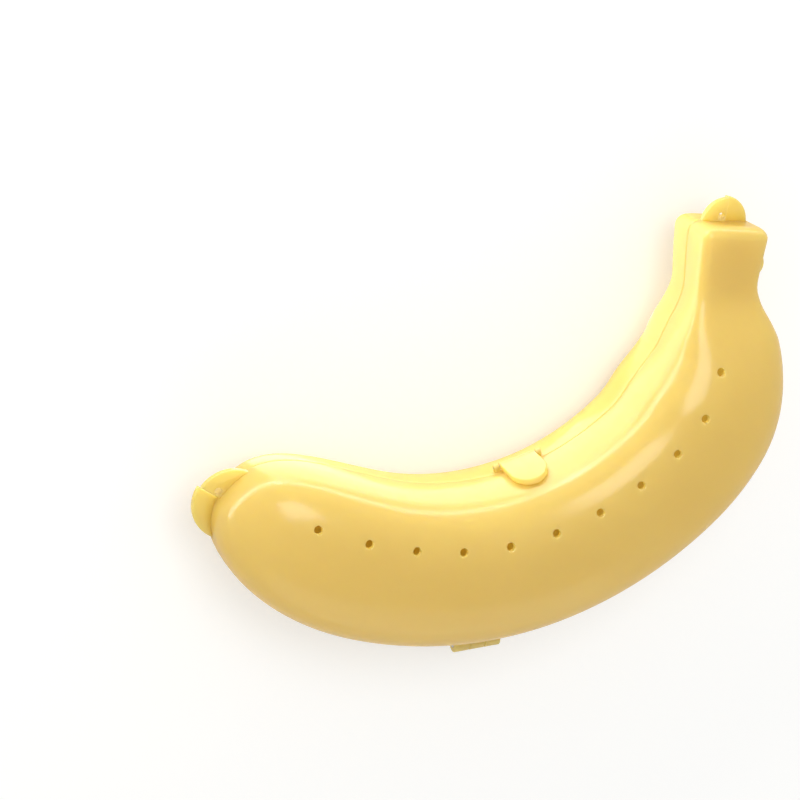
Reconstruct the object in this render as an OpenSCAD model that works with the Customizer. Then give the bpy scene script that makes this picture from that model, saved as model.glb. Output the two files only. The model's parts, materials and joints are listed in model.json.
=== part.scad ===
// Banana carrying case: a two-shell clamshell that follows the curve of the fruit.
// Millimetres. The case lies on its rear shell, lid (front shell) up, +Z up.
// The shells part on a level plane. The inside of the bend faces -Y, the hinge is at +Y,
// the stem end is at -X and the blossom tip at +X.
// Every station along the case is a distance s from the tip, measured on the centre line.

/* [Centre line] */
// radius of the long body bend
body_bend_r = 110.4; // [100:0.2:125]
// sweep of the body bend, tip side of the hinge
tip_sweep = 50.8; // [44:0.2:54]
// sweep of the body bend, stem side of the hinge
body_sweep = 40; // [34:0.2:44]
// radius of the tighter shoulder bend
shoulder_bend_r = 55.2; // [50:0.2:66]
// sweep of the shoulder bend
shoulder_sweep = 52; // [46:0.5:56]
// length of the stem along the centre line
stem_len = 41; // [36:0.5:48]
// how far the stem leans back over its length, degrees
stem_lean = 10; // [3:0.5:14]

/* [Sections] */
// width across the belly near the tip
belly_w = 54.6; // [48:0.2:60]
// width across the body before the shoulder
shoulder_w = 57.6; // [50:0.2:62]
// length over which the body grows to that width, from the tip
belly_len = 122; // [90:1:150]
// width at the neck
neck_w = 23.8; // [22:0.2:28]
// length of the taper from the body to the neck
neck_taper = 47.5; // [40:0.5:56]
// half the length of the rounded corner between the taper and the stem block
neck_round = 6; // [3:0.5:9]
// length of the square stem block
block_len = 25.9; // [23:0.1:30]
// width of the square stem end
stem_w = 26.2; // [24:0.2:30]
// thickness of a section as a share of its width
depth_ratio = 0.93; // [0.8:0.01:1]
// squareness of the body section (2 is an ellipse)
body_square = 2.6; // [2.2:0.1:3.2]
// squareness of the stem block
stem_square = 7; // [4:0.1:8]
// length over which the section turns square, up to the block
square_len = 32; // [26:0.5:40]
// length of the rounded blossom tip
dome_len = 60.6; // [50:0.2:70]
// fullness of the blossom tip
dome_full = 2.44; // [2.1:0.01:2.8]
// edge round of the flat stem end
stem_round = 4; // [3:0.2:5]

/* [Shell] */
// wall thickness
wall = 1.8; // [1.6:0.1:2.2]
// gap between the two rims when shut
rim_gap = 0.3; // [0.2:0.05:0.4]
// height of the locating lip on the rear shell
lip_h = 1.6; // [1:0.1:2.4]
// side clearance of the lip in the lid
lip_clear = 0.3; // [0.2:0.05:0.4]
// inside depth over which the lip's step dies out at the two ends
lip_fade = 8; // [6:0.5:10]

/* [Air holes] */
// number of air holes in each shell
hole_n = 11; // [7:2:11]
// air hole diameter
hole_d = 2.8; // [2:0.1:3.6]
// first hole, measured from the tip
hole_first = 25.4; // [22:0.2:30]
// spacing along the centre line
hole_pitch = 19.3; // [17:0.1:19.6]
// distance of the row from the centre line, towards the inside of the bend
hole_rise = 13.3; // [10:0.1:15]
// how much the two ends of the row drop back
hole_drop = 5.6; // [3:0.1:7]

/* [Pry tabs] */
// radius of the tab pair on the tip
tip_tab_r = 12.8; // [12:0.1:13.6]
// middle of the tip tabs' round, back from the tip along the centre line
tip_tab_back = 5.6; // [4.5:0.1:6.5]
// middle of the tip tabs' round, from the centre line towards the outside of the bend
tip_tab_off = 5; // [4:0.1:6]
// direction of the slit between the tip tabs, degrees from +X towards -Y
tip_tab_dir = 37; // [30:1:44]
// distance of the cord eye from the middle of the tip tabs' round
tip_eye_reach = 7.2; // [7:0.1:8]
// radius of the tab pair on the stem
stem_tab_r = 9.5; // [8.5:0.1:10.5]
// middle of the stem tabs' round, in from the end of the stem
stem_tab_in = 1.1; // [0.5:0.1:1.6]
// distance of the cord eye from the middle of the stem tabs' round
stem_eye_reach = 3; // [2.8:0.1:3.8]
// tab thickness
tab_t = 2; // [1.6:0.1:2.4]
// how far the tabs' faces sit back from the rim
tab_set = 0.1; // [0.05:0.05:0.2]
// slit between the two tabs of a pair
tab_slit = 0.5; // [0.4:0.1:1]
// cord eye diameter
eye_d = 2.4; // [2:0.1:3]
// web between the eye and the slit
eye_web = 0.7; // [0.6:0.1:1.2]
// radius of the finger tab beside the stem
side_tab_r = 5.2; // [4.6:0.1:6]
// middle of the finger tab, out from the side of the stem
side_tab_out = 1.8; // [1:0.1:2.4]
// distance of the finger tab from the stem end
side_tab_back = 16.2; // [14:0.2:18]

/* [Hinge] */
// hinge pin diameter
pin_d = 2; // [1.6:0.1:2.4]
// wall of the hinge barrel round its bore
barrel_wall = 1.7; // [1.4:0.1:2]
// length of one knuckle
knuckle_len = 5.6; // [4.8:0.1:6.4]
// end gap between knuckles
knuckle_gap = 0.3; // [0.2:0.05:0.5]
// radial play of the pin in the lid's knuckle
pin_play = 0.05; // [0.02:0.01:0.1]
// radial room of both pins where the rear shell holds them
pin_seat = 0.01; // [0.01:0.01:0.02]
// gap between the barrel and the shut lid
barrel_clear = 2.2; // [1.6:0.1:2.8]
// middle of the hinge, from the top of the body bend towards the stem
hinge_off = 2.4; // [0:0.2:4]

/* [Latch] */
// width of the latch flap, twice the radius of its round end
latch_w = 13.4; // [12:0.2:15]
// angle of the latch from the hinge, towards the stem
latch_dir = 13; // [8:0.5:18]
// flap thickness
latch_t = 2.2; // [1.8:0.1:2.4]
// how far the middle of the flap's round end lies above the parting plane
latch_reach = 7; // [5.5:0.1:7.6]
// radius of the flap's bow, close to the bow of the lid
flap_bend_r = 48; // [46:1:60]
// gap between the flap and the shell
latch_gap = 0.8; // [0.75:0.05:1.1]
// drop of the latch pivot below the parting plane
latch_drop = 1.7; // [1.6:0.1:2.4]
// latch pin diameter
latch_pin_d = 1; // [0.8:0.1:1]
// wall of the latch barrel round its bore
latch_barrel_wall = 0.7; // [0.6:0.05:0.75]
// thickness of one latch lug
lug_t = 2; // [1.6:0.1:2.6]
// end gap between the flap and a lug
lug_gap = 0.3; // [0.2:0.05:0.5]

/* [Hidden] */
$fn = 64;
half_gap = rim_gap / 2;
embed = wall / 2;
// how far a cutter runs past the face that it cuts
run_out = 1;
// centre-line lengths
deg = 180 / PI;
body_len = body_bend_r * (tip_sweep + body_sweep) / deg;
bend_len = shoulder_bend_r * shoulder_sweep / deg;
case_len = body_len + bend_len + stem_len;
stem_bend_r = stem_len * deg / stem_lean;
// headings where the body bend and the shoulder bend end, and the centres of the later arcs
body_end_turn = body_sweep;
bend_end_turn = body_sweep + shoulder_sweep;
bend_centre = (shoulder_bend_r - body_bend_r) * across(body_end_turn);
stem_centre = bend_centre - (shoulder_bend_r + stem_bend_r) * across(bend_end_turn);
hinge_s = body_bend_r * tip_sweep / deg;
latch_s = hinge_s + body_bend_r * latch_dir / deg;
neck_end = case_len - block_len;
neck_start = neck_end - neck_taper;
// hinge and latch
barrel_r = pin_d / 2 + barrel_wall;
barrel_out = barrel_r + barrel_clear;
hinge_y = body_bend_r + half_width(hinge_s, 0) + barrel_out;
knuckle_step = knuckle_len + knuckle_gap;
latch_barrel_r = latch_pin_d / 2 + latch_barrel_wall;
latch_out = latch_gap + latch_barrel_r;
lug_in = latch_w / 2 + lug_gap;
// mesh of the shells: stations along the case and steps round half a section
round_steps = 20;
tip_steps = 9;
body_steps = 18;
taper_steps = 6;
corner_steps = 5;
block_steps = 4;
cap_steps = 4;
dome_end = 0.62 * dome_len;
taper_end = neck_end - neck_round;
corner_end = neck_end + neck_round;
cap_start = case_len - stem_round;
stations = concat(
    [for (i = [0 : tip_steps - 1]) dome_end * pow(i / tip_steps, 2)],
    steps(dome_end, neck_start, body_steps),
    steps(neck_start, taper_end, taper_steps),
    steps(taper_end, corner_end, corner_steps),
    steps(corner_end, cap_start, block_steps),
    [for (i = [0 : cap_steps]) cap_start + stem_round * sin(90 * i / cap_steps)]);
ring_n = len(stations) + 1;
loop_n = 2 * (round_steps + 1) + 4;
// the object's box, so that the origin sits under its middle
rim = concat([for (s = stations) edge(s, 0, 1)], [for (s = stations) edge(s, 0, -1)]);
tip_out = [cos(tip_tab_dir), -sin(tip_tab_dir)];
tip_tab_at = spine(tip_tab_back) - tip_tab_off * inward(tip_tab_back);
stem_out = along(case_len);
stem_tab_at = spine(case_len) - stem_tab_in * stem_out;
box_low = [min([for (p = rim) p[0]]), stem_tab_at[1] - stem_tab_r];
box_high = [tip_tab_at[0] + tip_tab_r, hinge_y + barrel_r];
half_depth = half_gap + depth_ratio * max([for (s = stations) half_width(s, 0)]);
to_origin = [-(box_low[0] + box_high[0]) / 2, -(box_low[1] + box_high[1]) / 2, half_depth];

function steps(from, to, n) = [for (i = [0 : n - 1]) from + (to - from) * i / n];
// eases from 0 to 1 with level ends
function ease(t) = let (c = max(0, min(1, t))) c * c * (3 - 2 * c);
// 0 below zero and x above it, with the corner rounded over r each way
function ramp(x, r) = x > r ? x : x < -r ? 0 : (x + r) * (x + r) / (4 * r);

// heading of the centre line at s, degrees; 0 at the hinge
function heading(s) =
    s < body_len ? s / body_bend_r * deg - tip_sweep :
    s < body_len + bend_len ? body_end_turn + (s - body_len) / shoulder_bend_r * deg :
    bend_end_turn - (s - body_len - bend_len) / stem_bend_r * deg;
function along(s) = [-cos(heading(s)), -sin(heading(s))];
// points to the inside of the bend
function across(turn) = [sin(turn), -cos(turn)];
function inward(s) = across(heading(s));
// the centre line: three arcs, each starting where the last one ends
function spine(s) =
    s < body_len ? -body_bend_r * inward(s) :
    s < body_len + bend_len ? bend_centre - shoulder_bend_r * inward(s) :
    stem_centre + stem_bend_r * inward(s);

// half the width of the section at s, for a skin set in by t
function plain_width(s) =
    let (rest = max(0, 1 - ramp(neck_end - s, neck_round) / neck_taper))
    (belly_w + (shoulder_w - belly_w) * ease(s / belly_len)
    + (neck_w - shoulder_w) * rest * rest
    + (stem_w - neck_w) * ease((s - neck_end) / block_len)) / 2;
function dome(s, t) =
    let (c = max(0, min(1, (s - t) / (dome_len - t)))) pow(1 - pow(1 - c, dome_full), 1 / dome_full);
function cap(s, t) =
    let (r = stem_round - t, d = max(0, min(r, case_len - t - s))) r - sqrt(r * r - (r - d) * (r - d));
function half_width(s, t) = max(0, (plain_width(s) - t) * dome(s, t) - cap(s, t));
function squareness(s) =
    let (t = max(0, min(1, (s - neck_end + square_len) / square_len)))
        body_square + (stem_square - body_square) * pow(t, 3);
// the same station on a skin set in by t
function station(s, t) = t + s * (case_len - 2 * t) / case_len;
function edge(s, t, side) =
    let (q = station(s, t)) spine(q) + inward(q) * side * half_width(q, t);
function signed_pow(v, k) = sign(v) * pow(abs(v), k);

// one point of a shell's ring: n across (+1 is the inside of the bend), z from the parting plane
function at(s, t, n, z) =
    let (q = station(s, t), p = spine(q) + inward(q) * n * half_width(q, t)) [p[0], p[1], z];

// closed loop round one shell's wall at station s; open is 0 where the end closes to a point
function ring(s, open, side, mid, step) = let (
    k = 2 / squareness(s),
    outer = half_width(s, 0) * depth_ratio * open,
    q = station(s, wall),
    inner = half_width(q, wall) * depth_ratio * open,
    rise = inner + (half_gap - step) * ease(inner / lip_fade))
    concat(
        [for (i = [0 : round_steps])
            let (f = 180 * i / round_steps)
            at(s, 0, open * signed_pow(cos(f), k), side * (half_gap + outer * pow(sin(f), k)))],
        [at(s, mid, -open, side * half_gap), at(s, mid, -open, side * step)],
        [for (i = [round_steps : -1 : 0])
            let (f = 180 * i / round_steps)
            at(s, wall, open * signed_pow(cos(f), k), side * (step + rise * pow(sin(f), k)))],
        [at(s, mid, open, side * step), at(s, mid, open, side * half_gap)]);

// at a closed end the loop folds flat, so its doubled points share one number
function loop_index(j) =
    j <= round_steps ? 0 :
    j == loop_n - 1 ? round_steps + 1 :
    j == loop_n - 2 ? round_steps + 2 :
    j > round_steps + 2 ? round_steps + 3 : j;
function index(i, j) =
    let (w = j % loop_n) i * loop_n + (i == 0 || i == ring_n - 1 ? loop_index(w) : w);
function proper(f) = f[0] != f[1] && f[1] != f[2] && f[2] != f[0];

// half of the case as one lofted wall; side is 1 for the lid and -1 for the rear shell
module half_wall(side, mid, step) {
    points = [for (i = [0 : ring_n - 1])
        let (s = i < ring_n - 1 ? stations[i] : case_len, spread = i == ring_n - 1 || i == 0 ? 0 : 1)
            each ring(s, spread, side, mid, step)];
    quads = [for (i = [0 : ring_n - 2], j = [0 : loop_n - 1])
        each [[index(i, j), index(i, j + 1), index(i + 1, j + 1)],
              [index(i, j), index(i + 1, j + 1), index(i + 1, j)]]];
    faces = [for (f = quads) if (proper(f)) side < 0 ? f : [f[2], f[1], f[0]]];
    polyhedron(points, faces, convexity = 8);
}

// where air hole i sits
function hole_at(i) = let (
    s = hole_first + hole_pitch * i,
    u = (i - (hole_n - 1) / 2) / ((hole_n - 1) / 2),
    n = hole_rise - hole_drop * pow(u, 4)) spine(s) + inward(s) * n;

module air_holes(side) {
    for (i = [0 : hole_n - 1])
        translate([hole_at(i)[0], hole_at(i)[1], side > 0 ? half_depth / 3 : -half_depth - run_out])
            cylinder(d = hole_d, h = half_depth * 2 / 3 + run_out);
}

// plan of the case's wall line, to trim what is fixed on the wall
module core(t, h) {
    linear_extrude(h)
        polygon(concat(
            [for (i = [0 : ring_n - 2]) edge(stations[i], t, 1)],
            [for (i = [ring_n - 2 : -1 : 1]) edge(stations[i], t, -1)]));
}

// half of a round tab pair on the end of a shell; hand is 1 left of the slit, seen outwards.
// reach is the distance of its cord eye, or 0 for none.
module pry_tab(centre, out, r, hand, reach) {
    turn = atan2(out[1], out[0]);
    difference() {
        translate([centre[0], centre[1], 0])
            rotate(turn)
                difference() {
                    cylinder(r = r, h = tab_t);
                    translate([-2 * r, hand > 0 ? tab_slit / 2 - 2 * r : -tab_slit / 2, -run_out])
                        cube([4 * r, 2 * r, tab_t + 2 * run_out]);
                    if (reach > 0)
                        translate([reach, hand * (tab_slit / 2 + eye_web + eye_d / 2), -run_out])
                            cylinder(d = eye_d, h = tab_t + 2 * run_out);
                }
        translate([0, 0, -run_out])
            core(embed, tab_t + 2 * run_out);
    }
}

// round finger tab on the outside of the stem
module side_tab() {
    s = case_len - side_tab_back;
    p = edge(s, 0, -1) - side_tab_out * inward(s);
    difference() {
        translate([p[0], p[1], 0])
            cylinder(r = side_tab_r, h = tab_t);
        translate([0, 0, -run_out])
            core(embed, tab_t + 2 * run_out);
    }
}

// hinge knuckle number i (-1, 0, 1) with its foot on the wall; side as for the shells
module knuckle(i, side) {
    translate([i * knuckle_step - knuckle_len / 2 - hinge_off, hinge_y, 0]) {
        rotate([0, 90, 0])
            cylinder(r = barrel_r, h = knuckle_len);
        translate([0, -barrel_out - embed, side > 0 ? half_gap : -0.85 * barrel_r])
            cube([knuckle_len, barrel_out + embed, 0.85 * barrel_r - half_gap]);
    }
}

module knuckle_bore(i, play) {
    translate([(i - 0.5) * knuckle_step - hinge_off, hinge_y, 0])
        rotate([0, 90, 0])
            cylinder(d = pin_d + 2 * play, h = knuckle_step);
}

// moves to the latch: X along the case, Y out of the inside of the bend, Z up
module to_latch() {
    p = edge(latch_s, 0, 1);
    translate([p[0], p[1], 0])
        rotate(heading(latch_s) + 180)
            children();
}

// latch lug with its foot on the rear wall
module lug(hand) {
    translate([hand > 0 ? lug_in : -lug_in - lug_t, latch_out, -latch_drop]) {
        rotate([0, 90, 0])
            cylinder(r = latch_barrel_r, h = lug_t);
        translate([0, -latch_out - embed, -0.8 * latch_barrel_r])
            cube([lug_t, latch_out + embed, 1.6 * latch_barrel_r]);
    }
}

module latch_bore(from, length, play) {
    translate([from, latch_out, -latch_drop])
        rotate([0, 90, 0])
            cylinder(d = latch_pin_d + 2 * play, h = length);
}

module rear_shell() {
    color("khaki")
        translate(to_origin)
            difference() {
                union() {
                    half_wall(-1, (wall + lip_clear) / 2, -lip_h);
                    translate([0, 0, -half_gap - tab_set - tab_t]) {
                        pry_tab(tip_tab_at, tip_out, tip_tab_r, 1, 0);
                        pry_tab(stem_tab_at, stem_out, stem_tab_r, -1, 0);
                        side_tab();
                    }
                    knuckle(-1, -1);
                    knuckle(1, -1);
                    to_latch() {
                        lug(-1);
                        lug(1);
                    }
                }
                air_holes(-1);
                knuckle_bore(-1, pin_seat);
                knuckle_bore(1, pin_seat);
                to_latch() {
                    latch_bore(lug_in - lug_gap, lug_t + 2 * lug_gap, pin_seat);
                    latch_bore(-lug_in - lug_t - lug_gap, lug_t + 2 * lug_gap, pin_seat);
                }
            }
}

module front_shell() {
    color("gold")
        translate(to_origin)
            difference() {
                union() {
                    half_wall(1, (wall - lip_clear) / 2, lip_h + lip_clear);
                    translate([0, 0, half_gap + tab_set]) {
                        pry_tab(tip_tab_at, tip_out, tip_tab_r, -1, tip_eye_reach);
                        pry_tab(stem_tab_at, stem_out, stem_tab_r, 1, stem_eye_reach);
                    }
                    knuckle(0, 1);
                }
                air_holes(1);
                knuckle_bore(0, pin_play);
            }
}

module hinge_pin() {
    color("silver")
        translate(to_origin)
            translate([-1.5 * knuckle_len - knuckle_gap - hinge_off, hinge_y, 0])
                rotate([0, 90, 0])
                    cylinder(d = pin_d, h = 3 * knuckle_len + 2 * knuckle_gap);
}

// bowed flap with a round end, cut from a tube that follows the lid's wall
module flap() {
    tube_y = latch_gap - flap_bend_r;
    intersection() {
        translate([-latch_w / 2, tube_y, 0])
            rotate([0, 90, 0])
                difference() {
                    cylinder(r = flap_bend_r + latch_t, h = latch_w, $fn = 180);
                    translate([0, 0, -run_out])
                        cylinder(r = flap_bend_r, h = latch_w + 2 * run_out, $fn = 180);
                }
        translate([0, tube_y + flap_bend_r / 2, 0])
            rotate([-90, 0, 0])
                linear_extrude(flap_bend_r)
                    union() {
                        translate([0, -latch_reach])
                            circle(d = latch_w);
                        translate([-latch_w / 2, -latch_reach])
                            square([latch_w, latch_reach + latch_drop]);
                    }
    }
}

module thumb_latch() {
    color("gold")
        translate(to_origin)
            to_latch()
                difference() {
                    union() {
                        flap();
                        translate([-latch_w / 2, latch_out, -latch_drop])
                            rotate([0, 90, 0])
                                cylinder(r = latch_barrel_r, h = latch_w);
                    }
                    latch_bore(-lug_in, 2 * lug_in, pin_play);
                }
}

module latch_pin() {
    color("silver")
        translate(to_origin)
            to_latch()
                latch_bore(-lug_in - lug_t, 2 * (lug_in + lug_t), 0);
}

rear_shell();
front_shell();
hinge_pin();
thumb_latch();
latch_pin();
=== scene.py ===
# %% [markdown]
# # A banana carrying case
# The case is two moulded shells that close like a clam round one banana. They turn on a pin
# hinge on the outside of the curve, and a flap latch on the inside of the curve holds them shut.
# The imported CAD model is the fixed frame: it says where each piece is and which body it moves
# with. This lesson dresses it, with finer meshes, materials, light and a camera.

# %% Load the frame
import json
import math

import bmesh
import bpy
from mathutils import Matrix, Vector


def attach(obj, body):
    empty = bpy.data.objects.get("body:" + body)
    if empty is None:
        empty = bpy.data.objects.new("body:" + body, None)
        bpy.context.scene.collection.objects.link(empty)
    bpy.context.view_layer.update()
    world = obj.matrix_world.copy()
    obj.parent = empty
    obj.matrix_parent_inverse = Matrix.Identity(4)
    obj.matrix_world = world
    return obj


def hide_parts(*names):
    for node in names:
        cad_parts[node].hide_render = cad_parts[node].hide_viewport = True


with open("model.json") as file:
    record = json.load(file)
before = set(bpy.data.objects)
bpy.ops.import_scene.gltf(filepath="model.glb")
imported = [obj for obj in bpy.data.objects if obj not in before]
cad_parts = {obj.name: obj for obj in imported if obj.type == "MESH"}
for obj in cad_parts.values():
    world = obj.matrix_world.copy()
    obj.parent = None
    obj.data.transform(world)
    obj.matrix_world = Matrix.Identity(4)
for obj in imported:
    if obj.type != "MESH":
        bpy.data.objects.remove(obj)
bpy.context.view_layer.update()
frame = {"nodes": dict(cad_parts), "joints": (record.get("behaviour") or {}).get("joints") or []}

print("CAD nodes:", sorted(frame["nodes"]))

# %% [markdown]
# ## The sizes
# The shells are lofts: one rounded section that swells and narrows along a curved centre line.
# A sculpted mesh could be pushed into that shape by eye, but the solids were lofted from a few
# sizes, so repeating the same sizes here gives a mesh that lies on the solids everywhere.
# They are in millimetres, and only the finished points are turned into metres.

# %% Sizes of the case, mm
MM = 0.001
DEG = 180 / math.pi
# centre line: a long body bend, a tighter shoulder bend, and a stem that leans back
BODY_BEND_R, TIP_SWEEP, BODY_SWEEP = 110.4, 50.8, 40.0
SHOULDER_BEND_R, SHOULDER_SWEEP = 55.2, 52.0
STEM_LEN, STEM_LEAN = 41.0, 10.0
# sections
BELLY_W, SHOULDER_W, BELLY_LEN = 54.6, 57.6, 122.0
NECK_W, NECK_TAPER, NECK_ROUND = 23.8, 47.5, 6.0
BLOCK_LEN, STEM_W, STEM_ROUND = 25.9, 26.2, 4.0
DEPTH_RATIO, BODY_SQUARE, STEM_SQUARE, SQUARE_LEN = 0.93, 2.6, 7.0, 32.0
DOME_LEN, DOME_FULL = 60.6, 2.44
# shell wall and the lip that finds its seat in the other half
WALL, HALF_GAP, LIP_H, LIP_CLEAR, LIP_FADE = 1.8, 0.15, 1.6, 0.3, 8.0

BODY_LEN = BODY_BEND_R * (TIP_SWEEP + BODY_SWEEP) / DEG
BEND_LEN = SHOULDER_BEND_R * SHOULDER_SWEEP / DEG
CASE_LEN = BODY_LEN + BEND_LEN + STEM_LEN
STEM_BEND_R = STEM_LEN * DEG / STEM_LEAN
NECK_END = CASE_LEN - BLOCK_LEN
print("length along the centre line, mm:", round(CASE_LEN, 1))

# %% [markdown]
# ## The centre line
# Every point of the case is found from a distance s along the centre line, measured from the
# blossom tip. Three arcs that meet end to end are enough for the bend of the fruit. A Bezier
# curve would do too, but an arc tells its direction at any s without a search.


# %% Centre line
def across(turn):
    """Unit step to the inside of the bend, where the line has turned by that many degrees."""
    return Vector((math.sin(turn / DEG), -math.cos(turn / DEG)))


def heading(s):
    if s < BODY_LEN:
        return s / BODY_BEND_R * DEG - TIP_SWEEP
    if s < BODY_LEN + BEND_LEN:
        return BODY_SWEEP + (s - BODY_LEN) / SHOULDER_BEND_R * DEG
    return BODY_SWEEP + SHOULDER_SWEEP - (s - BODY_LEN - BEND_LEN) / STEM_BEND_R * DEG


def inward(s):
    return across(heading(s))


def along(s):
    turn = heading(s) / DEG
    return Vector((-math.cos(turn), -math.sin(turn)))


BEND_CENTRE = (SHOULDER_BEND_R - BODY_BEND_R) * across(BODY_SWEEP)
STEM_CENTRE = BEND_CENTRE - (SHOULDER_BEND_R + STEM_BEND_R) * across(BODY_SWEEP + SHOULDER_SWEEP)


def spine(s):
    if s < BODY_LEN:
        return -BODY_BEND_R * inward(s)
    if s < BODY_LEN + BEND_LEN:
        return BEND_CENTRE - SHOULDER_BEND_R * inward(s)
    return STEM_CENTRE + STEM_BEND_R * inward(s)


print("tip at", spine(0), "stem end at", spine(CASE_LEN))

# %% [markdown]
# ## The sections
# A section is a superellipse: squarer than an oval on the body, and nearly a square with round
# corners on the stem block. Its width swells from the belly to the shoulder, tapers into the
# neck, and closes to a dome at the tip. A skin set in by t gives the inside of the wall.


# %% Sections
def ease(t):
    c = max(0.0, min(1.0, t))
    return c * c * (3 - 2 * c)


def ramp(x, r):
    """0 below zero and x above it, with the corner rounded over r each way."""
    if abs(x) <= r:
        return (x + r) ** 2 / (4 * r)
    return max(0.0, x)


def plain_width(s):
    rest = max(0.0, 1 - ramp(NECK_END - s, NECK_ROUND) / NECK_TAPER)
    body = BELLY_W + (SHOULDER_W - BELLY_W) * ease(s / BELLY_LEN)
    neck = (NECK_W - SHOULDER_W) * rest * rest
    block = (STEM_W - NECK_W) * ease((s - NECK_END) / BLOCK_LEN)
    return (body + neck + block) / 2


def half_width(s, t):
    c = max(0.0, min(1.0, (s - t) / (DOME_LEN - t)))
    dome = (1 - (1 - c) ** DOME_FULL) ** (1 / DOME_FULL)
    r = STEM_ROUND - t
    d = max(0.0, min(r, CASE_LEN - t - s))
    cap = r - math.sqrt(max(0.0, r * r - (r - d) ** 2))
    return max(0.0, (plain_width(s) - t) * dome - cap)


def squareness(s):
    t = max(0.0, min(1.0, (s - NECK_END + SQUARE_LEN) / SQUARE_LEN))
    return BODY_SQUARE + (STEM_SQUARE - BODY_SQUARE) * t ** 3


def station(s, t):
    """The same station on a skin set in by t."""
    return t + s * (CASE_LEN - 2 * t) / CASE_LEN


def plan(s, t, n):
    """Plan point on a skin set in by t; n is +1 at the inside of the bend and -1 at the outside."""
    q = station(s, t)
    return spine(q) + inward(q) * n * half_width(q, t)


places = {"belly": 80, "shoulder": 160, "neck": NECK_END + NECK_ROUND}
print("widths, mm:", {place: round(2 * half_width(s, 0), 1) for place, s in places.items()})

# %% [markdown]
# ## Where the hinge is
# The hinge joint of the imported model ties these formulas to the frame: the formulas put the
# hinge at a known place, the record says where it really is, and the difference is the shift
# that every point gets. So the mesh follows the CAD model even if its origin moves.

# %% Shift to the row frame
PIN_D, BARREL_WALL, BARREL_CLEAR, HINGE_OFF = 2.0, 1.7, 2.2, 2.4
BARREL_R = PIN_D / 2 + BARREL_WALL
BARREL_OUT = BARREL_R + BARREL_CLEAR
HINGE_S = BODY_BEND_R * TIP_SWEEP / DEG
HINGE_Y = BODY_BEND_R + half_width(HINGE_S, 0) + BARREL_OUT
joints = {joint["name"]: joint for joint in frame["joints"]}
SHIFT = Vector(joints["lid_hinge"]["pos_m"]) / MM - Vector((-HINGE_OFF, HINGE_Y, 0))


def row_point(x, y, z):
    """A point in millimetres, as these formulas give it, in metres in the row frame."""
    return (Vector((x, y, z)) + SHIFT) * MM


print("shift, mm:", [round(v, 3) for v in SHIFT])

# %% [markdown]
# ## The camera
# The viewing angle was found by matching the outline of the shells to the photograph: a long
# lens, 0.68 m away, on the lid's side. The case lies on its back here, so the camera looks
# down on it, and its own up points to the inside of the bend. A matrix of right, up and
# backward says that directly, where a Track To constraint would keep the horizon level.

# %% Camera
CAMERA_AIM = row_point(26.02, 56.26, 0.0)
CAMERA_RIGHT = Vector((-0.9323, 0.0, 0.3616)).normalized()
CAMERA_BACK = Vector((0.3371, -0.3616, 0.8692)).normalized()
CAMERA_DISTANCE = 0.680
SENSOR_MM, LENS_MM, SHIFT_UP = 36, 91.8, 0.025
camera_data = bpy.data.cameras.new("camera")
camera_data.sensor_width = SENSOR_MM
camera_data.lens = LENS_MM
camera_data.shift_y = SHIFT_UP
camera = bpy.data.objects.new("camera", camera_data)
bpy.context.scene.collection.objects.link(camera)
camera_up = CAMERA_BACK.cross(CAMERA_RIGHT)
camera.matrix_world = Matrix.Translation(CAMERA_AIM + CAMERA_BACK * CAMERA_DISTANCE) @ Matrix(
    (CAMERA_RIGHT, camera_up, CAMERA_BACK)).transposed().to_4x4()
bpy.context.scene.camera = camera
print("camera at", [round(v, 3) for v in camera.location])

# %% [markdown]
# ## Colours and nodes
# Colours are written as sRGB hex values, as a paint program shows them, and the shader needs
# them linear. One small function does that, and one adds a shader node with its settings and
# its links, so that a material reads as a short list.


# %% Colour and node helpers
def linear(hex_colour):
    """An sRGB hex colour as linear red, green, blue and alpha."""
    parts = [int(hex_colour[i:i + 2], 16) / 255 for i in (1, 3, 5)]
    return [c / 12.92 if c <= 0.04045 else ((c + 0.055) / 1.055) ** 2.4 for c in parts] + [1.0]


def add_node(tree, kind, settings=(), links=(), **values):
    """Adds a node. settings are its own properties, values its sockets, links socket to output."""
    node = tree.nodes.new(kind)
    for key, value in dict(settings).items():
        setattr(node, key, value)
    for key, value in values.items():
        node.inputs[key.replace("_", " ")].default_value = value
    for key, output in dict(links).items():
        tree.links.new(output, node.inputs[key])
    return node


def new_material(name):
    material = bpy.data.materials.new(name)
    material.use_nodes = True
    material.node_tree.nodes.clear()
    return material


print("mid grey, linear:", [round(c, 3) for c in linear("#808080")])

# %% [markdown]
# ## Moulded polypropylene
# The shells and the latch are injection-moulded polypropylene from a polished mould: glossy,
# a little translucent, and coloured all the way through. Close up the gloss isn't a mirror.
# The mould's polish leaves a faint orange peel, handling leaves fine scuffs that dull the gloss
# in places, and the pigment flows a little unevenly. All three are noise patterns, each at its
# real size.
#
# The wall is thin, so daylight reaches the inside and the air holes look gold, not black. A
# Translucent shader mixed in does that. Light crosses two faces of the wall, so each face gets
# the square root of the tint, which is a gamma of one half.

# %% Moulded polypropylene
PP_YELLOW = "#f6dc7e"
PP_FLOW = "#f2d678"
# size of each pattern in mm, the roughness that the scuffs range over, and the peel's bump, in m
PEEL_MM, FLOW_MM, SCUFF_MM = 1.6, 28.0, 9.0
POLISHED, SCUFFED = 0.17, 0.25
PEEL_STRENGTH, PEEL_DEPTH = 0.03, 0.0001
PLASTIC_IOR, GLOSS = 1.49, 0.9
# how far light wanders in the plastic, in metres, and the share of that for red, green and blue
BLEED, BLEED_RGB = 0.006, (0.8, 0.9, 0.5)
SEE_THROUGH, ONE_FACE = 0.45, 0.5


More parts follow.
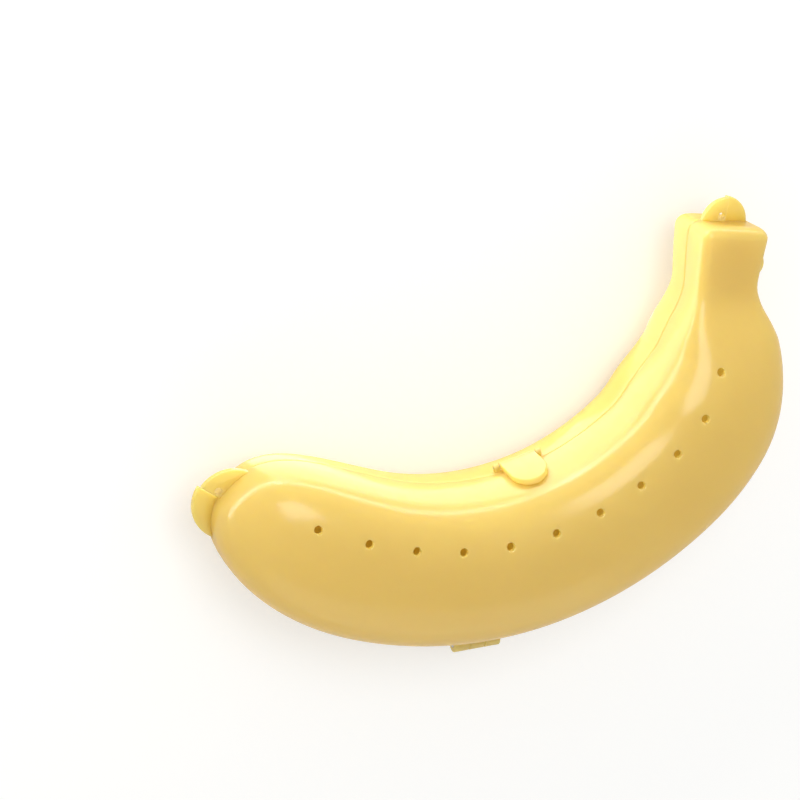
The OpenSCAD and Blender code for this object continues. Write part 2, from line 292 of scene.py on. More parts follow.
def moulded_polypropylene(name, tint, flow_tint):
    """Glossy, waxy and slightly see-through: soft highlights, and light that bleeds at edges."""
    material = new_material(name)
    tree = material.node_tree
    place = add_node(tree, "ShaderNodeTexCoord").outputs["Object"]
    flow = add_node(tree, "ShaderNodeTexNoise", links={"Vector": place},
                    Scale=1 / (FLOW_MM * MM), Detail=3.0, Roughness=0.5)
    # a Mix node's sockets share their names, so they go by number: 6 and 7 are the two colours
    colour = add_node(tree, "ShaderNodeMix", {"data_type": "RGBA"})
    colour.inputs[6].default_value = linear(tint)
    colour.inputs[7].default_value = linear(flow_tint)
    tree.links.new(flow.outputs["Fac"], colour.inputs[0])
    scuff = add_node(tree, "ShaderNodeTexNoise", links={"Vector": place},
                     Scale=1 / (SCUFF_MM * MM), Detail=8.0, Roughness=0.72)
    gloss = add_node(tree, "ShaderNodeMapRange", links={"Value": scuff.outputs["Fac"]},
                     From_Min=0.3, From_Max=0.8, To_Min=POLISHED, To_Max=SCUFFED)
    peel = add_node(tree, "ShaderNodeTexNoise", links={"Vector": place},
                    Scale=1 / (PEEL_MM * MM), Detail=2.0, Roughness=0.4)
    bump = add_node(tree, "ShaderNodeBump", links={"Height": peel.outputs["Fac"]},
                    Strength=PEEL_STRENGTH, Distance=PEEL_DEPTH)
    shader = add_node(tree, "ShaderNodeBsdfPrincipled", {"subsurface_method": "RANDOM_WALK"},
                      {"Base Color": colour.outputs[2], "Roughness": gloss.outputs["Result"],
                       "Normal": bump.outputs["Normal"]},
                      IOR=PLASTIC_IOR, Specular_IOR_Level=GLOSS, Subsurface_Weight=1.0,
                      Subsurface_Scale=BLEED, Subsurface_Radius=BLEED_RGB)
    face_tint = add_node(tree, "ShaderNodeGamma", links={"Color": colour.outputs[2]},
                         Gamma=ONE_FACE)
    through = add_node(tree, "ShaderNodeBsdfTranslucent",
                       links={"Color": face_tint.outputs["Color"]})
    wall = add_node(tree, "ShaderNodeMixShader", Fac=SEE_THROUGH)
    tree.links.new(shader.outputs["BSDF"], wall.inputs[1])
    tree.links.new(through.outputs["BSDF"], wall.inputs[2])
    add_node(tree, "ShaderNodeOutputMaterial", links={"Surface": wall.outputs["Shader"]})
    return material


shell_plastic = moulded_polypropylene("moulded_polypropylene_yellow", PP_YELLOW, PP_FLOW)
print("made", shell_plastic.name)

# %% [markdown]
# ## Drawn stainless steel
# The two pins are cut from drawn stainless wire. Drawing leaves fine lines along the wire, so
# the highlight is broken across it. The lines are a few hundredths of a millimetre wide; they
# are drawn here ten times coarser, because they would vanish in a picture of this size.

# %% Drawn stainless steel
STEEL = "#b9babd"
DRAW_LINE_MM, LINE_STRETCH = 0.3, 0.04
BRIGHT, DULL = 0.22, 0.42
LINE_STRENGTH, LINE_DEPTH = 0.15, 0.00005


def drawn_stainless_steel(name):
    """Bright grey metal whose highlight is streaked along the wire."""
    material = new_material(name)
    tree = material.node_tree
    place = add_node(tree, "ShaderNodeTexCoord").outputs["Object"]
    stretch = add_node(tree, "ShaderNodeMapping", links={"Vector": place},
                       Scale=(LINE_STRETCH, 1.0, 1.0))
    lines = add_node(tree, "ShaderNodeTexNoise", links={"Vector": stretch.outputs["Vector"]},
                     Scale=1 / (DRAW_LINE_MM * MM), Detail=4.0, Roughness=0.6)
    gloss = add_node(tree, "ShaderNodeMapRange", links={"Value": lines.outputs["Fac"]},
                     To_Min=BRIGHT, To_Max=DULL)
    bump = add_node(tree, "ShaderNodeBump", links={"Height": lines.outputs["Fac"]},
                    Strength=LINE_STRENGTH, Distance=LINE_DEPTH)
    shader = add_node(tree, "ShaderNodeBsdfPrincipled",
                      links={"Roughness": gloss.outputs["Result"],
                             "Normal": bump.outputs["Normal"]},
                      Base_Color=linear(STEEL), Metallic=1.0)
    add_node(tree, "ShaderNodeOutputMaterial", links={"Surface": shader.outputs["BSDF"]})
    return material


pin_steel = drawn_stainless_steel("drawn_stainless_steel")
print("made", pin_steel.name)

# %% [markdown]
# ## The grid of the shells
# A shell's skin is a grid: stations along the case and steps round half a section. A boolean
# would cut the air holes, but on a glossy curved skin it leaves thin triangles that show in the
# highlight. So the stations are spaced to put every air hole on one of them, and each hole
# will take the place of a block of four by four faces.

# %% Stations and steps
HOLE_N, HOLE_D, HOLE_FIRST, HOLE_PITCH = 11, 2.8, 25.4, 19.3
HOLE_RISE, HOLE_DROP = 13.3, 5.6
STEPS_A_PITCH = 12
TIP_RINGS, CAP_RINGS, ROUND_STEPS = 18, 7, 56
BLOCK = 2

step = HOLE_PITCH / STEPS_A_PITCH
grid_start = HOLE_FIRST - (BLOCK + 1) * step
start_share = half_width(grid_start, 0) / plain_width(grid_start)
# near the tip the rings are spaced by width, so that the dome closes evenly
stations = [DOME_LEN * (1 - (1 - (start_share * i / TIP_RINGS) ** DOME_FULL) ** (1 / DOME_FULL))
            for i in range(TIP_RINGS)]
first_grid_ring = len(stations)
grid_rings = math.floor((CASE_LEN - STEM_ROUND - grid_start) / step)
stations += [grid_start + step * i for i in range(grid_rings)]
stations += [CASE_LEN - STEM_ROUND * (1 - math.sin(math.pi / 2 * i / CAP_RINGS))
             for i in range(CAP_RINGS + 1)]
print(len(stations), "stations, one every", round(step, 2), "mm")

# %% [markdown]
# ## One ring of a shell
# A ring goes once round the wall of one half: over the outer skin, across the rim, along the
# step of the lip, and back on the inner skin. The outer corner of the rim is rounded, as a
# mould makes it, so the parting line catches the light as a fine groove.

# %% Ring of a shell
EDGE_R, EDGE_STEPS, EDGE_SHARE = 0.45, 3, 0.4
LIP_POINTS = 3


def superellipse(i, m):
    """Point number i of the half section, evenly spread by angle, on a unit superellipse."""
    turn = math.pi * i / ROUND_STEPS
    c, d = math.cos(turn), math.sin(turn)
    r = (abs(c) ** m + abs(d) ** m) ** (-1 / m)
    return c * r, d * r


def rim_corner(hand, r):
    """The rounded outer corner of the rim as (inset, side, height), from the rim to the skin."""
    turns = [math.pi / 2 * i / EDGE_STEPS for i in range(EDGE_STEPS + 1)]
    return [(r * (1 - math.sin(a)), hand, HALF_GAP + r * (1 - math.cos(a))) for a in turns]


def inner_rise(s, lip):
    """How far the inner skin rises from the lip's level at station s."""
    inner = half_width(station(s, WALL), WALL) * DEPTH_RATIO
    return inner + (HALF_GAP - lip) * ease(inner / LIP_FADE)


def shell_ring(s, side, mid, lip, spread=1):
    """Points of one ring, in mm. A spread of 0 folds it flat, to close the end of the stem."""
    outer = half_width(s, 0) * DEPTH_RATIO * spread
    rise = inner_rise(s, lip) * spread
    arc = [superellipse(i, squareness(s)) for i in range(1, ROUND_STEPS)]
    corner_r = min(EDGE_R, EDGE_SHARE * outer)
    ring = rim_corner(1, corner_r)
    ring += [(0, n, HALF_GAP + outer * z) for n, z in arc]
    ring += rim_corner(-1, corner_r)[::-1]
    ring += [(mid, -1, HALF_GAP), (mid, -1, lip), (WALL, -1, lip)]
    ring += [(WALL, n, lip + rise * z) for n, z in reversed(arc)]
    ring += [(WALL, 1, lip), (mid, 1, lip), (mid, 1, HALF_GAP)]
    return [(*plan(s, t, n * spread), side * z) for t, n, z in ring]


def outer_column(i):
    return EDGE_STEPS + i


def inner_column(i):
    return 2 * (EDGE_STEPS + ROUND_STEPS) + LIP_POINTS - i


LID_MID, LID_LIP = (WALL - LIP_CLEAR) / 2, LIP_H + LIP_CLEAR
BASE_MID, BASE_LIP = (WALL + LIP_CLEAR) / 2, -LIP_H
sample = shell_ring(BELLY_LEN, 1, LID_MID, LID_LIP)
print("points in a ring:", len(sample))

# %% [markdown]
# ## An air hole
# Each hole is a round tube through the wall, straight up, as a mould pin leaves it, with a
# softened mouth. To set a circle on the skin, the plan point is traced back to its station,
# and the section there gives the height.

# %% Height of the skin over a plan point
TRACE_STEPS = 5


def curvature(s):
    if s < BODY_LEN:
        return 1 / BODY_BEND_R
    return 1 / SHOULDER_BEND_R if s < BODY_LEN + BEND_LEN else -1 / STEM_BEND_R


def skin_height(point, s, t, lip):
    """Height of the skin set in by t over a plan point near station s."""
    for _ in range(TRACE_STEPS):
        off = point - spine(s)
        n = off.dot(inward(s))
        s += off.dot(along(s)) / (1 - n * curvature(s))
    own = (s - t) * CASE_LEN / (CASE_LEN - 2 * t)
    m = squareness(own)
    share = max(0.0, 1 - abs(n / half_width(s, t)) ** m) ** (1 / m)
    if t == 0:
        return HALF_GAP + half_width(s, 0) * DEPTH_RATIO * share
    return lip + inner_rise(own, lip) * share


def hole_place(k):
    """Station of air hole k and its distance from the centre line, to the inside of the bend."""
    u = (k - (HOLE_N - 1) / 2) / ((HOLE_N - 1) / 2)
    return HOLE_FIRST + HOLE_PITCH * k, HOLE_RISE - HOLE_DROP * u ** 4


s_mid, n_mid = hole_place(HOLE_N // 2)
print("skin over the middle hole, mm:",
      round(skin_height(spine(s_mid) + inward(s_mid) * n_mid, s_mid, 0, 0), 2))


# %% Block of faces that a hole takes up
def hole_block(k):
    """Middle ring and column of the block that hole k replaces, and the loop round the block."""
    s, n = hole_place(k)
    share = n / half_width(s, 0)
    m = squareness(s)
    turn = math.atan2((1 - share ** m) ** (1 / m), share)
    i = first_grid_ring + BLOCK + 1 + STEPS_A_PITCH * k
    j = round(turn / math.pi * ROUND_STEPS)
    loop = [(i - BLOCK, j + d) for d in range(-BLOCK, BLOCK)]
    loop += [(i + d, j + BLOCK) for d in range(-BLOCK, BLOCK)]
    loop += [(i + BLOCK, j - d) for d in range(-BLOCK, BLOCK)]
    loop += [(i - d, j - BLOCK) for d in range(-BLOCK, BLOCK)]
    return i, j, loop


print("first hole's block is at", hole_block(0)[:2])

# %% [markdown]
# ## A shell
# Now the pieces join up: rings, faces between them with the hole blocks left out, and then a
# run of circles from the outer block to the inner one. A face between two loops is the same
# job each time, so one function does it for the walls and for the holes.

# %% Mesh helpers
HARD_EDGE = math.radians(38)


def add_face(bm, corners):
    """A face from corners, some of which may be the same point; none if fewer than 3 are left."""
    corners = list(dict.fromkeys(corners))
    if len(corners) > 2:
        bm.faces.new(corners)


def bridge(bm, a, b):
    """Faces between two closed loops with the same number of points."""
    for k in range(len(a)):
        add_face(bm, [a[k - 1], a[k], b[k], b[k - 1]])


def smooth(mesh):
    """Smooth shading that leaves the hard edges hard."""
    mesh.shade_smooth()
    mesh.set_sharp_from_angle(angle=HARD_EDGE)


def finish_mesh(name, bm, material):
    """Turns a bmesh into a smooth-shaded piece with its hard edges kept."""
    bmesh.ops.recalc_face_normals(bm, faces=bm.faces)
    mesh = bpy.data.meshes.new(name)
    bm.to_mesh(mesh)
    bm.free()
    smooth(mesh)
    piece = bpy.data.objects.new(name, mesh)
    bpy.context.scene.collection.objects.link(piece)
    mesh.materials.append(material)
    return piece


print("mesh helpers ready")

# %% Shell builder
HOLE_R = HOLE_D / 2
# radius of each circle of a hole, the skin it is measured from, and its depth below that skin
HOLE_CIRCLES = [(HOLE_R + 0.5, 0, 0.0), (HOLE_R + 0.16, 0, 0.05), (HOLE_R, 0, 0.34),
                (HOLE_R, WALL, -0.3), (HOLE_R + 0.3, WALL, 0.0)]
SAME_POINT_DIGITS = 4


def pierce(bm, rings, k, side, lip):
    """Puts air hole k into a shell: circles from the outer skin's block to the inner skin's."""
    s, n = hole_place(k)
    centre = spine(s) + inward(s) * n
    outside = [rings[i][outer_column(j)] for i, j in hole_block(k)[2]]
    inside = [rings[i][inner_column(j)] for i, j in hole_block(k)[2]]
    spokes = [(v.co / MM - SHIFT).xy - centre for v in outside[:2]]
    start = math.atan2(spokes[0].y, spokes[0].x)
    turn = math.copysign(2 * math.pi / len(outside), spokes[0].cross(spokes[1]))
    last = outside
    for radius, t, depth in HOLE_CIRCLES:
        circle = []
        for q in range(len(outside)):
            a = start + turn * q
            point = centre + Vector((math.cos(a), math.sin(a))) * radius
            z = skin_height(point, s, t, lip) - depth
            circle.append(bm.verts.new(row_point(point.x, point.y, side * z)))
        bridge(bm, last, circle)
        last = circle
    bridge(bm, last, inside)


def build_shell(name, side, mid, lip, material):
    bm = bmesh.new()
    rings = []
    for s, spread in [(s, 1) for s in stations] + [(CASE_LEN, 0)]:
        seen = {}
        ring = []
        for point in shell_ring(s, side, mid, lip, spread):
            key = tuple(round(v, SAME_POINT_DIGITS) for v in point)
            if key not in seen:
                seen[key] = bm.verts.new(row_point(*point))
            ring.append(seen[key])
        rings.append(ring)
    left_out = set()
    for k in range(HOLE_N):
        i, j, _ = hole_block(k)
        for di in range(-BLOCK, BLOCK):
            for dj in range(-BLOCK, BLOCK):
                left_out.add((i + di, outer_column(j + dj)))
                left_out.add((i + di, inner_column(j + dj) - 1))
    for i in range(len(rings) - 1):
        a, b = rings[i], rings[i + 1]
        for c in range(len(a)):
            d = (c + 1) % len(a)
            if (i, c) not in left_out:
                add_face(bm, [a[c], a[d], b[d], b[c]])
    for k in range(HOLE_N):
        pierce(bm, rings, k, side, lip)
    return finish_mesh(name, bm, material)


lid_shell = build_shell("lid_shell", 1, LID_MID, LID_LIP, shell_plastic)
base_shell = build_shell("base_shell", -1, BASE_MID, BASE_LIP, shell_plastic)
for shell in (lid_shell, base_shell):
    loose = [e for e in shell.data.edges if e.is_loose]
    print(shell.name, len(shell.data.polygons), "faces,", len(loose), "loose edges")

# %% [markdown]
# ## Plates with soft edges
# The tabs, the knuckles and the lugs have rounded edges. Each is drawn as a flat outline, pushed
# up to its thickness, and rounded by a Bevel modifier, which rounds every hard edge alike. The
# Boolean modifier suits them, unlike the shells, because the faces that it cuts are flat.

# %% Plate helpers
BEVEL_STEPS, BEVEL_FROM, CIRCLE_POINTS = 3, math.radians(40), 48
# how far a cutter reaches past what it cuts, mm
PAST = 1.0


def prism(name, outline, low, high, place, material):
    """Pushes a flat outline from low to high. place turns its points into the row frame."""
    bm = bmesh.new()
    lower = [bm.verts.new(place(x, y, low)) for x, y in outline]
    upper = [bm.verts.new(place(x, y, high)) for x, y in outline]
    bm.faces.new(lower)
    bm.faces.new(upper)
    bridge(bm, lower, upper)
    return finish_mesh(name, bm, material)


def circle_outline(x, y, r):
    turns = [2 * math.pi * k / CIRCLE_POINTS for k in range(CIRCLE_POINTS)]
    return [(x + r * math.cos(a), y + r * math.sin(a)) for a in turns]


def bake_modifiers(piece):
    graph = bpy.context.evaluated_depsgraph_get()
    mesh = bpy.data.meshes.new_from_object(piece.evaluated_get(graph))
    piece.modifiers.clear()
    piece.data = mesh


def combine(piece, operation, tool):
    """Cuts or joins another piece, and keeps the result as the piece's own mesh."""
    boolean = piece.modifiers.new("combine", "BOOLEAN")
    boolean.operation = operation
    boolean.object = tool
    bake_modifiers(piece)
    bpy.data.objects.remove(tool)


def soften(piece, width):
    """Rounds the hard edges of a plate."""
    bevel = piece.modifiers.new("soft edges", "BEVEL")
    bevel.width = width * MM
    bevel.segments = BEVEL_STEPS
    bevel.angle_limit = BEVEL_FROM
    bevel.harden_normals = False
    bake_modifiers(piece)
    smooth(piece.data)


print("plate helpers ready")

# %% [markdown]
# ## The pry tabs
# Each end of the case has a round tab split down the middle: one half belongs to the lid and
# the other to the rear shell, so a thumb on each pulls the case open. The lid's half has a
# small eye for a cord. A half-round finger tab stands beside the stem. The inner edge of a tab
# follows the middle of the wall, so nothing of it shows inside the case.

# %% Tab outlines
TIP_TAB_R, TIP_TAB_BACK, TIP_TAB_OFF, TIP_TAB_DIR, TIP_EYE_REACH = 12.8, 5.6, 5.0, 37.0, 7.2
STEM_TAB_R, STEM_TAB_IN, STEM_EYE_REACH = 9.5, 1.1, 3.0
TAB_T, TAB_SET, TAB_SLIT, EYE_D, EYE_WEB = 2.0, 0.1, 0.5, 2.4, 0.7
SIDE_TAB_R, SIDE_TAB_OUT, SIDE_TAB_BACK = 5.2, 1.8, 16.2
ARC_STEP, TAB_SOFT = 3.0, 0.5

wall_line = [plan(s, WALL / 2, 1) for s in reversed(stations)]
wall_line += [plan(s, WALL / 2, -1) for s in stations]


def inside_wall_line(point):
    hit = False
    for a, b in zip(wall_line, wall_line[1:] + wall_line[:1]):
        if (a.y > point.y) != (b.y > point.y):
            if point.x < a.x + (point.y - a.y) / (b.y - a.y) * (b.x - a.x):
                hit = not hit
    return hit


def tab_outline(centre, out, r, hand):
    """Outline of a tab round centre: the half on one hand of the slit, or with hand 0 all of it."""
    left = Vector((-out.y, out.x)) * (hand or 1)
    edge = math.asin(TAB_SLIT / 2 / r) * DEG if hand else -180.0
    turns = [edge + ARC_STEP * k for k in range(int((180 - edge) / ARC_STEP))]
    arc = [centre + (out * math.cos(a / DEG) + left * math.sin(a / DEG)) * r for a in turns]
    arc = [p for p in arc if not inside_wall_line(p)]
    near = [p for p in wall_line if (p - centre).length < r
            and (not hand or (p - centre).dot(left) > TAB_SLIT / 2)]
    if (near[0] - arc[-1]).length > (near[-1] - arc[-1]).length:
        near.reverse()
    if hand:
        depth = (near[-1] - centre).dot(out)
        near.append(centre + out * depth + left * (TAB_SLIT / 2))
    return arc + near


print(len(wall_line), "points on the wall line")

# %% Tabs
tip_out = Vector((math.cos(TIP_TAB_DIR / DEG), -math.sin(TIP_TAB_DIR / DEG)))
tip_at = spine(TIP_TAB_BACK) - inward(TIP_TAB_BACK) * TIP_TAB_OFF
stem_out = along(CASE_LEN)
stem_at = spine(CASE_LEN) - stem_out * STEM_TAB_IN
side_s = CASE_LEN - SIDE_TAB_BACK
side_out = -inward(side_s)
side_at = plan(side_s, 0, -1) + side_out * SIDE_TAB_OUT


def make_tab(name, centre, out, r, hand, side, reach=0):
    """A tab with its face just back from the rim; a reach above 0 puts a cord eye that far out."""
    low = HALF_GAP + TAB_SET if side > 0 else -HALF_GAP - TAB_SET - TAB_T
    tab = prism(name, tab_outline(centre, out, r, hand), low, low + TAB_T, row_point, shell_plastic)
    if reach:
        aside = hand * (TAB_SLIT / 2 + EYE_WEB + EYE_D / 2)
        at = centre + out * reach + Vector((-out.y, out.x)) * aside
        cutter = prism("cutter", circle_outline(at.x, at.y, EYE_D / 2),
                       low - PAST, low + TAB_T + PAST, row_point, shell_plastic)
        combine(tab, "DIFFERENCE", cutter)
    soften(tab, TAB_SOFT)
    return tab


lid_extras = [make_tab("lid_tip_tab", tip_at, tip_out, TIP_TAB_R, -1, 1, TIP_EYE_REACH),
              make_tab("lid_stem_tab", stem_at, stem_out, STEM_TAB_R, 1, 1, STEM_EYE_REACH)]
base_extras = [make_tab("base_tip_tab", tip_at, tip_out, TIP_TAB_R, 1, -1),
               make_tab("base_stem_tab", stem_at, stem_out, STEM_TAB_R, -1, -1),
               make_tab("base_side_tab", side_at, side_out, SIDE_TAB_R, 0, -1)]
print("tabs:", [tab.name for tab in lid_extras + base_extras])

# %% [markdown]
# ## The hinge
# Three knuckles share one steel pin on the outside of the curve: the outer two belong to the
# rear shell and the middle one to the lid. A knuckle is a barrel with a foot that runs into the
# wall. Its outline is drawn in the plane across the pin and pushed along the pin.

# %% Knuckles
KNUCKLE_LEN, KNUCKLE_GAP, PIN_SEAT, PIN_PLAY = 5.6, 0.3, 0.01, 0.05
FOOT_SHARE, KNUCKLE_SOFT, BARREL_POINTS = 0.85, 0.25, 40


def footed_barrel(r, reach, low, high):
    """Outline of a barrel round (0, 0) with a foot from low to high that reaches out at -y."""
    start = math.pi - math.asin(high / r)
    end = -math.pi - math.asin(low / r)
    turns = [start + (end - start) * k / BARREL_POINTS for k in range(BARREL_POINTS + 1)]
    return [(r * math.cos(a), r * math.sin(a)) for a in turns] + [(-reach, low), (-reach, high)]


def along_hinge(y, z, x):
    return row_point(x, HINGE_Y + y, z)


def make_knuckle(name, number, side, play):
    middle = number * (KNUCKLE_LEN + KNUCKLE_GAP) - HINGE_OFF
    span = (middle - KNUCKLE_LEN / 2, middle + KNUCKLE_LEN / 2)
    foot = sorted((side * HALF_GAP, side * FOOT_SHARE * BARREL_R))
    outline = footed_barrel(BARREL_R, BARREL_OUT + WALL / 2, *foot)
    knuckle = prism(name, outline, *span, along_hinge, shell_plastic)
    soften(knuckle, KNUCKLE_SOFT)
    bore = prism("cutter", circle_outline(0, 0, PIN_D / 2 + play),
                 span[0] - PAST, span[1] + PAST, along_hinge, shell_plastic)
    combine(knuckle, "DIFFERENCE", bore)
    return knuckle


base_extras += [make_knuckle("base_knuckle_stem_side", -1, -1, PIN_SEAT),
                make_knuckle("base_knuckle_tip_side", 1, -1, PIN_SEAT)]
lid_extras.append(make_knuckle("lid_knuckle", 0, 1, PIN_PLAY))
print("knuckles:", [piece.name for piece in base_extras[-2:] + lid_extras[-1:]])

# %% [markdown]
# ## The latch
# The latch is a small flap with a round end. It turns on a second pin between two lugs of the
# rear shell, and lies over the parting line, bowed like the lid that it lies against. A bent
# plate could come from a Simple Deform modifier, but outlines stacked through its thickness give
# the bow and the round rim at once. A Bevel fails here: the rows at the round end lie so close
# together that it shrinks to nothing. A Boolean then joins the barrel and bores it.

# %% Latch
LATCH_W, LATCH_DIR, LATCH_T, LATCH_REACH, FLAP_BEND_R = 13.4, 13.0, 2.2, 7.0, 48.0
LATCH_GAP, LATCH_DROP, LATCH_PIN_D, LATCH_BARREL_WALL = 0.8, 1.7, 1.0, 0.7
FLAP_EDGE, FLAP_STEPS, FLAP_ROWS, FLAP_ARC, BARREL_INSET = 0.4, 4, 8, 18, 0.1
SLIVER = 0.001 * MM
LATCH_BARREL_R = LATCH_PIN_D / 2 + LATCH_BARREL_WALL
LATCH_OUT = LATCH_GAP + LATCH_BARREL_R
LATCH_S = HINGE_S + BODY_BEND_R * LATCH_DIR / DEG
latch_at, latch_x, latch_y = plan(LATCH_S, 0, 1), along(LATCH_S), inward(LATCH_S)


def on_latch(x, y, z):
    """x along the case, y out of the inside of the bend, z up, from the latch's middle."""
    point = latch_at + latch_x * x + latch_y * y
    return row_point(point.x, point.y, z)


def along_latch_pin(y, z, x):
    return on_latch(x, LATCH_OUT + y, z - LATCH_DROP)


def bowed(bend, z):
    """How far out the plate is at height z, on its arc of radius bend."""
    return LATCH_GAP - FLAP_BEND_R + math.sqrt(bend ** 2 - z ** 2)


def make_flap(name, material):
    """A bowed plate built up through its thickness. The outline draws in at both faces, so the
    rim is round."""
    turns = [math.pi / 2 * k / FLAP_STEPS for k in range(FLAP_STEPS + 1)]
    layers = [(FLAP_EDGE * (1 - math.cos(a)), FLAP_EDGE * (1 - math.sin(a))) for a in turns]
    layers += [(LATCH_T - depth, inset) for depth, inset in reversed(layers)]
    arc = [math.pi / 2 * k / FLAP_ARC for k in range(FLAP_ARC)]
    rise = (LATCH_REACH + LATCH_DROP) / FLAP_ROWS
    bm = bmesh.new()
    loops = []
    for depth, inset in layers:
        half, bend = LATCH_W / 2 - inset, FLAP_BEND_R + depth
        side = [(half, -LATCH_DROP + rise * k) for k in range(FLAP_ROWS)]
        side += [(half * math.cos(a), LATCH_REACH + half * math.sin(a)) for a in arc]
        outline = [(-x, z) for x, z in side] + [(0, LATCH_REACH + half)] + side[::-1]
        loops.append([bm.verts.new(on_latch(x, bowed(bend, z), z)) for x, z in outline])
    for lower, upper in zip(loops, loops[1:]):
        bridge(bm, lower, upper)
    for loop in (loops[0], loops[-1]):
        for k in range(len(loop) // 2):
            add_face(bm, [loop[k], loop[k + 1], loop[-k - 2], loop[-k - 1]])
    return finish_mesh(name, bm, material)


def drop_slivers(piece):
    """Merges what a cut leaves closer together than a thousandth of a millimetre."""
    bm = bmesh.new()
    bm.from_mesh(piece.data)
    bmesh.ops.remove_doubles(bm, verts=bm.verts, dist=SLIVER)
    bmesh.ops.dissolve_degenerate(bm, dist=SLIVER, edges=bm.edges)
    bm.to_mesh(piece.data)
    bm.free()
    smooth(piece.data)


latch = make_flap("thumb_flap", shell_plastic)
barrel_half = LATCH_W / 2 - BARREL_INSET
barrel = prism("barrel", circle_outline(0, 0, LATCH_BARREL_R), -barrel_half, barrel_half,
               along_latch_pin, shell_plastic)
combine(latch, "UNION", barrel)
bore = prism("cutter", circle_outline(0, 0, LATCH_PIN_D / 2 + PIN_PLAY), -LATCH_W, LATCH_W,
             along_latch_pin, shell_plastic)
combine(latch, "DIFFERENCE", bore)
drop_slivers(latch)
print(latch.name, len(latch.data.polygons), "faces")

# %% Lugs
LUG_T, LUG_GAP, LUG_FOOT, LUG_SOFT = 2.0, 0.3, 0.8, 0.3


def make_lug(name, hand):
    near = LATCH_W / 2 + LUG_GAP
    span = sorted((hand * near, hand * (near + LUG_T)))
    foot = LUG_FOOT * LATCH_BARREL_R
    outline = footed_barrel(LATCH_BARREL_R, LATCH_OUT + WALL / 2, -foot, foot)
    lug = prism(name, outline, *span, along_latch_pin, shell_plastic)
    soften(lug, LUG_SOFT)
    bore = prism("cutter", circle_outline(0, 0, LATCH_PIN_D / 2 + PIN_SEAT),
                 span[0] - PAST, span[1] + PAST, along_latch_pin, shell_plastic)
    combine(lug, "DIFFERENCE", bore)
    return lug


base_extras += [make_lug("latch_lug_tip_side", -1), make_lug("latch_lug_stem_side", 1)]
print("lugs:", [piece.name for piece in base_extras[-2:]])

# %% [markdown]
# ## The pins
# The pins' solids are right as they are: plain wire, cut flush. They stay as CAD nodes, with a
# steel finish and a Bevel modifier that takes the burr off their ends.

# %% Pins
DEBUR, DEBUR_STEPS, DEBUR_FROM = 0.12, 2, math.radians(60)
for name in ("hinge_pin", "latch_pin"):
    pin = frame["nodes"][name]
    pin.data.materials.clear()
    pin.data.materials.append(pin_steel)
    bevel = pin.modifiers.new("deburred ends", "BEVEL")
    bevel.width = DEBUR * MM
    bevel.segments = DEBUR_STEPS
    bevel.angle_limit = DEBUR_FROM
    print(name, "dressed")

# %% [markdown]
# ## Who moves with whom
# Each piece rides on the CAD body that it belongs to, so the lid and the latch open as the
# model says. The three plastic CAD nodes give way to the finer pieces.

# %% Ride and replace
for piece in [lid_shell] + lid_extras:
    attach(piece, "lid")
    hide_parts("front_shell")
for piece in [base_shell] + base_extras:
    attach(piece, "base")
    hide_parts("rear_shell")
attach(latch, "latch")
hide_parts("thumb_latch")
print("lid pieces:", 1 + len(lid_extras), "base pieces:", 1 + len(base_extras))

# %% [markdown]
# ## The floor
# The photograph has a pure white ground with a faint shadow. The floor is matt white paper. To
# the camera and to glossy rays it gives off a little of its own light, a painted glow that is no
# lamp, so it reads white where the lamps reach it and grey only in the shadow, and no lamp has to
# be turned up for that. The case's gloss reflects that glow too, so part of its sheen is painted
# light. That light grows a little away from the case, because the lamps don't reach the far
# floor.

# %% Floor
FLOOR_SIZE, FLOOR_GLOW, FAR_GLOW = 6.0, 0.31, 0.56
NEAR, FAR = 0.2, 0.9
PAPER, WHITE = "#e8e8e6", "#ffffff"
scene = bpy.context.scene
scene.view_settings.view_transform = "Standard"
bm = bmesh.new()
bmesh.ops.create_grid(bm, x_segments=1, y_segments=1, size=FLOOR_SIZE / 2)
floor = finish_mesh("floor", bm, new_material("white_paper_with_glow"))
tree = floor.data.materials[0].node_tree
ray = add_node(tree, "ShaderNodeLightPath").outputs
# the glow shows only to camera rays and glossy rays: a painted glow for the white ground and for
# part of the case's sheen
seen = add_node(tree, "ShaderNodeMath", {"operation": "MAXIMUM"})
tree.links.new(ray["Is Camera Ray"], seen.inputs[0])
tree.links.new(ray["Is Glossy Ray"], seen.inputs[1])
away = add_node(tree, "ShaderNodeVectorMath", {"operation": "LENGTH"},
                {0: add_node(tree, "ShaderNodeTexCoord").outputs["Object"]})
level = add_node(tree, "ShaderNodeMapRange", links={"Value": away.outputs["Value"]},
                 From_Min=NEAR, From_Max=FAR, To_Min=FLOOR_GLOW, To_Max=FAR_GLOW)
strength = add_node(tree, "ShaderNodeMath", {"operation": "MULTIPLY"},
                    {0: seen.outputs[0], 1: level.outputs["Result"]})
paper = add_node(tree, "ShaderNodeBsdfDiffuse", Color=linear(PAPER))
glow = add_node(tree, "ShaderNodeEmission", links={"Strength": strength.outputs[0]},
                Color=linear(WHITE))
both = add_node(tree, "ShaderNodeAddShader",
                links={0: paper.outputs["BSDF"], 1: glow.outputs["Emission"]})
add_node(tree, "ShaderNodeOutputMaterial", links={"Surface": both.outputs["Shader"]})
print("floor", FLOOR_SIZE, "m")

# %% [markdown]
# ## The white room
# The camera and the gloss see a plain white world, at a strength of 1. As a light on the case it
# is weaker, so that the plastic keeps its colour. A ring of lamps could light every side too,
# but each lamp would show as a spot in the gloss.

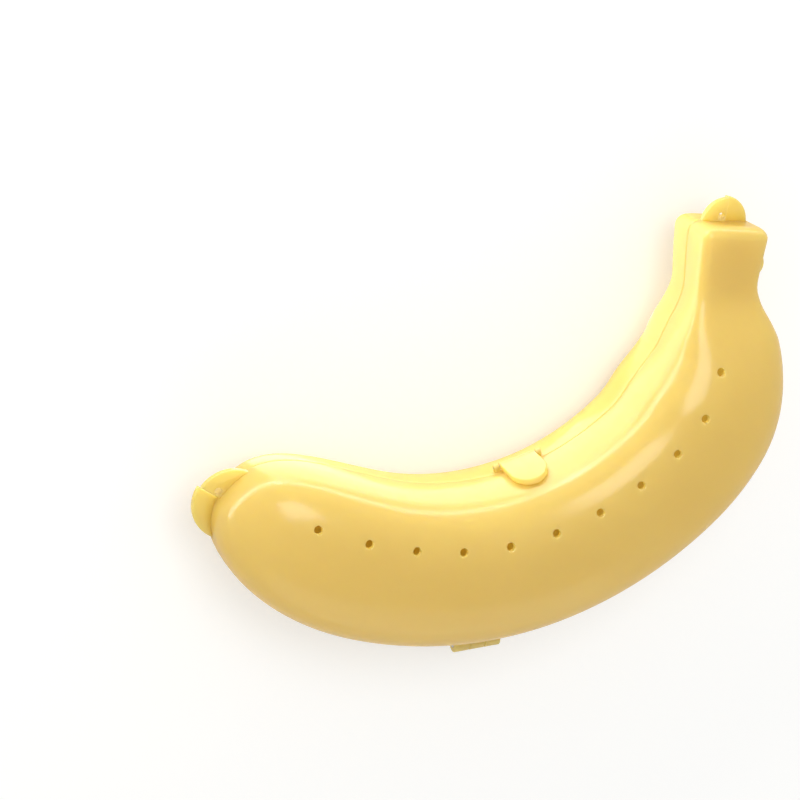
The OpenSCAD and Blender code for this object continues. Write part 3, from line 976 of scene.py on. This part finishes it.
# %% World
WORLD_LIGHT = 0.57
world = bpy.data.worlds.new("white_room")
world.use_nodes = True
scene.world = world
tree = world.node_tree
tree.nodes.clear()
ray = add_node(tree, "ShaderNodeLightPath").outputs
seen = ray["Is Camera Ray"]
for kind in ("Is Glossy Ray", "Is Transmission Ray"):
    either = add_node(tree, "ShaderNodeMath", {"operation": "MAXIMUM"}, {0: seen, 1: ray[kind]})
    seen = either.outputs[0]
level = add_node(tree, "ShaderNodeMapRange", links={"Value": seen},
                 To_Min=WORLD_LIGHT, To_Max=1.0)
sky = add_node(tree, "ShaderNodeBackground", links={"Strength": level.outputs["Result"]},
               Color=linear(WHITE))
add_node(tree, "ShaderNodeOutputWorld", links={"Surface": sky.outputs["Background"]})
print("world light", WORLD_LIGHT)

# %% [markdown]
# ## The lamps
# Most of the light is the white room. Two long, low softboxes stand beyond the inside of the
# bend, which is the top of the picture, and draw the glossy line along the lid's shoulder. A
# top lamp gives the face its broad sheen and the case its shadow. Two panels lying on the
# table inside the bend, one of them beside the neck, light the side that faces away from the
# room, and a large weak fill keeps the hinge side from going brown.


# %% Softboxes
def softbox(name, at, aim, width, height, power):
    """A rectangular lamp at a place, aimed at another; sizes in metres, power in watts."""
    data = bpy.data.lights.new(name, "AREA")
    data.shape = "RECTANGLE"
    data.size, data.size_y, data.energy = width, height, power
    lamp = bpy.data.objects.new(name, data)
    lamp.location = at
    lamp.rotation_euler = (Vector(aim) - Vector(at)).to_track_quat("-Z", "Y").to_euler()
    scene.collection.objects.link(lamp)
    return lamp


CASE_MIDDLE = (0, 0, 0.03)
# name, place, aim, width, height, power
LAMPS = [("key_softbox", (0.46, -0.58, 0.07), CASE_MIDDLE, 1.2, 0.12, 3.2),
         ("side_softbox", (-0.28, -0.70, 0.07), CASE_MIDDLE, 1.0, 0.12, 2.1),
         ("top_softbox", (0.10, -0.48, 0.88), (0, 0.02, 0.02), 0.45, 0.45, 2.6),
         ("table_panel", (0.025, -0.305, 0.002), (0.025, -0.305, 1.0), 0.12, 0.6, 0.7),
         ("neck_panel", (-0.05, -0.095, 0.002), (-0.05, -0.095, 1.0), 0.04, 0.14, 0.025),
         ("fill_softbox", (0.0, 1.4, 0.8), CASE_MIDDLE, 2.0, 1.2, 4.0)]
for row in LAMPS:
    lamp = softbox(*row)
    print(lamp.name, lamp.data.energy, "W")
